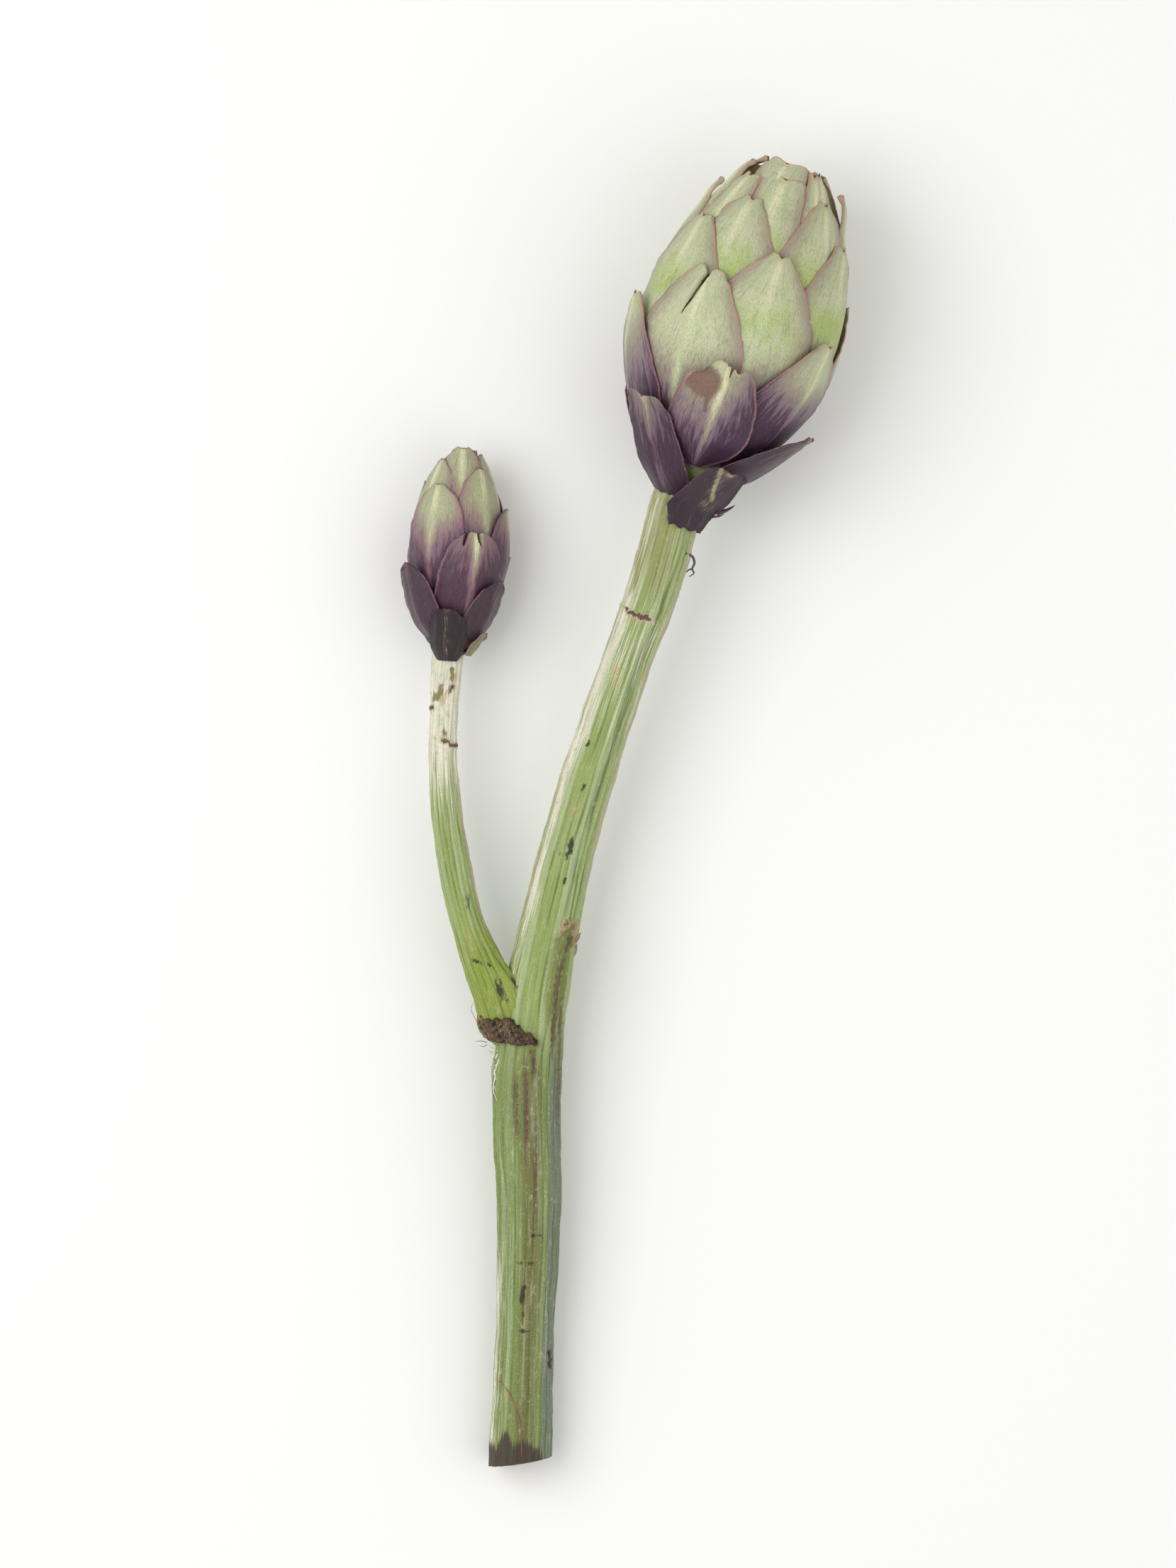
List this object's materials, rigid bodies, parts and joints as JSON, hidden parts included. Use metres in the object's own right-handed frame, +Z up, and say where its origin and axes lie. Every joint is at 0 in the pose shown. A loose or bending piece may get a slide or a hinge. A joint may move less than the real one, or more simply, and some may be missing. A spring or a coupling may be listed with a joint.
{
  "type": "artichoke",
  "caption": "Cut globe artichoke on a long forked stalk, with a large purple-green head and a small side head, lying on its side.",
  "frame": {"origin": "centre of the part seen from above, on the surface it lies on", "axes": "+Y along the stalk from its cut end to the large head, +X to the right seen from above, away from the small head, and +Z up from the surface"},
  "size_m": [0.1382, 0.4068, 0.0701],
  "materials": {
    "stalk": "matte ribbed green stalk, stands in for fresh plant tissue",
    "torn_leaf_base": "dry dark brown torn leaf tissue",
    "large_head": "waxy grey-green bracts, purple low down",
    "small_head": "waxy purple-green bracts with a soft shine"
  },
  "bodies": {
    "root": {"stalk": "stalk", "torn_leaf_base": "torn_leaf_base", "large_head": "large_head", "small_head": "small_head"}
  },
  "joints": []
}
